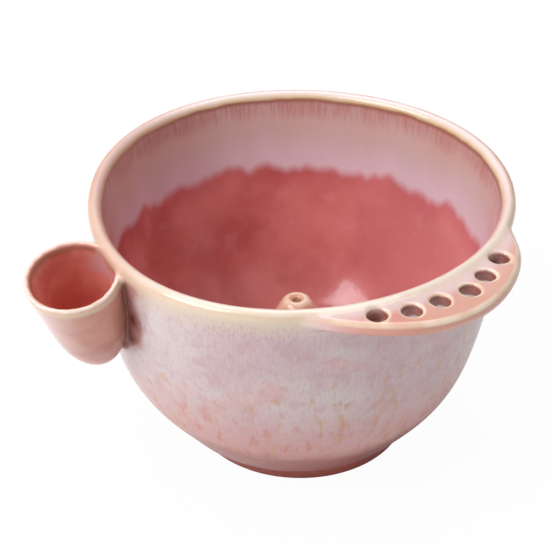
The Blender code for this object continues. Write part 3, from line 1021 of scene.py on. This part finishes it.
    peach = blend(tree, fine, colour("cf8f78"), colour("e0b092"))
    base = blend(tree, mask(tree, "on_post"), base, peach)
    arris = fade(tree, height, LEDGE_TOP - 2 * MM, LEDGE_TOP - 1 * MM)
    arris = maths(tree, "MULTIPLY", mask(tree, "on_ledge"), arris)
    raised = maths(tree, "MULTIPLY", maths(tree, "ADD", arris, mask(tree, "on_post")), 0.9)
    edge = maths(tree, "MULTIPLY", fade(tree, mask(tree, "edge"), 0.22, 0.5), raised)
    cream = blend(tree, fine, colour("e2bda4"), colour("ead8c2"))
    base = blend(tree, edge, base, cream)
    shallow = maths(tree, "MULTIPLY_ADD", mask(tree, "inside_cup"), -0.8, 1.0)
    crease = maths(tree, "MULTIPLY", mask(tree, "crease"), shallow)
    base = tint(tree, base, fade(tree, crease, 0.2, 0.8), 0.8, "743a2f")

    tree.links.new(base, shader.inputs["Base Color"])
    rough = maths(tree, "MULTIPLY_ADD", crease, 0.4, fade(tree, fine, 0.0, 1.0, 0.09, 0.18))
    tree.links.new(rough, shader.inputs["Roughness"])
    skin = use(tree, mottle_group, "Raw", {"Vector": place, "Scale": 150.0})
    bump = put(tree, "Bump", {"Strength": 0.2, "Distance": 0.4 * MM, "Height": skin})
    tree.links.new(bump.outputs[0], shader.inputs["Normal"])
    return material


glazed = {
    bowl_skin: "pink_glaze",
    cup_skin: "salmon_glaze",
    ledge_skin: "salmon_glaze",
    post_skin: "rose_glaze",
}
for piece, glaze in glazed.items():
    made = bpy.data.materials.get(glaze + "_fired") or glaze_material(glaze + "_fired")
    piece.data.materials.clear()
    piece.data.materials.append(made)
    print(piece.name, "in", made.name, len(made.node_tree.nodes), "nodes")

# %% [markdown]
# ## The foot's thin glaze
#
# Little glaze reaches the foot, so the red-brown clay shows through it. Mottling at two scales
# keeps it from looking painted.

# %% The foot's thin glaze
foot_clay, tree, shader = new_material("foot_clay")
place = put(tree, "TexCoord").outputs["Object"]
cloud = clouds(tree, place, 60.0, 0.35, 0.65)
grit = clouds(tree, place, 240.0, 0.5, 0.7)
base = blend(tree, cloud, colour("9a473b"), colour("ac584c"))
base = tint(tree, base, grit, 0.3, "a2685b")
tree.links.new(base, shader.inputs["Base Color"])
tree.links.new(fade(tree, cloud, 0.0, 1.0, 0.42, 0.6), shader.inputs["Roughness"])
skin = use(tree, mottle_group, "Raw", {"Vector": place, "Scale": 220.0})
bump = put(tree, "Bump", {"Strength": 0.3, "Distance": 0.4 * MM, "Height": skin})
tree.links.new(bump.outputs[0], shader.inputs["Normal"])
foot.data.materials.clear()
foot.data.materials.append(foot_clay)
print("foot clay", len(tree.nodes), "nodes")

# %% [markdown]
# ## Pieces and bodies
#
# Each piece rides on the part's only body and stands for the solids that it covers.

# %% Pieces and bodies
for piece in (bowl_skin, cup_skin, ledge_skin, post_skin):
    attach(piece, "root")
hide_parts("bowl_body")
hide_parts("side_cup", "cup_luting_coil")
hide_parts("tool_ledge", "ledge_luting_coil")
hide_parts("centre_post", "post_luting_coil")
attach(foot, "root")
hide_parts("foot")

# %% [markdown]
# ## Floor and light
#
# The bowl stands on a white sweep. Large soft lamps stand for a studio's softboxes: the key from
# the upper left, a weaker fill from the right, and a broad one overhead, whose reflection runs
# along the rim. The floor is shown to the camera as white, with only a trace of the bowl's shadow.

# %% Floor and light
clear_selection()
bpy.ops.mesh.primitive_plane_add(size=6)
floor = bpy.context.object
floor.name = "studio_floor"
floor_paint, tree, shader = new_material("floor_paint")
shader.inputs["Base Color"].default_value = colour("f4f4f4")
shader.inputs["Roughness"].default_value = 0.9
glow = put(tree, "Emission", {"Strength": 1.0})
rays = put(tree, "LightPath")
seen = maths(tree, "MULTIPLY", rays.outputs["Is Camera Ray"], 0.96)
shown = put(tree, "MixShader", {0: seen, 1: shader.outputs[0], 2: glow.outputs[0]})
tree.links.new(shown.outputs[0], tree.nodes["Material Output"].inputs["Surface"])
floor.data.materials.append(floor_paint)

world = bpy.data.worlds.new("studio")
bpy.context.scene.world = world
world.use_nodes = True
tree = world.node_tree
tree.nodes.clear()
rays = put(tree, "LightPath")
level = maths(tree, "MULTIPLY_ADD", rays.outputs["Is Camera Ray"], 0.58, 0.42)
sky = put(tree, "Background", {"Color": (1, 1, 1, 1), "Strength": level})
put(tree, "OutputWorld", {"Surface": sky.outputs[0]})


def softbox(name, place, target, size, power):
    bpy.ops.object.light_add(type="AREA", location=place)
    lamp = bpy.context.object
    lamp.name = name
    lamp.rotation_euler = (Vector(target) - Vector(place)).to_track_quat("-Z", "Y").to_euler()
    lamp.data.shape = "RECTANGLE"
    lamp.data.size, lamp.data.size_y = size
    lamp.data.energy = power
    return lamp


softbox("key_softbox", (-0.75, -0.45, 0.85), (0, 0, 0.05), (0.7, 0.7), 11)
softbox("fill_softbox", (0.9, -0.7, 0.6), (0, 0, 0.05), (0.8, 0.8), 0.6)
softbox("top_softbox", (0.0, 0.35, 1.0), (0, 0, 0.05), (0.7, 0.5), 4)
bpy.context.scene.view_settings.view_transform = "Standard"
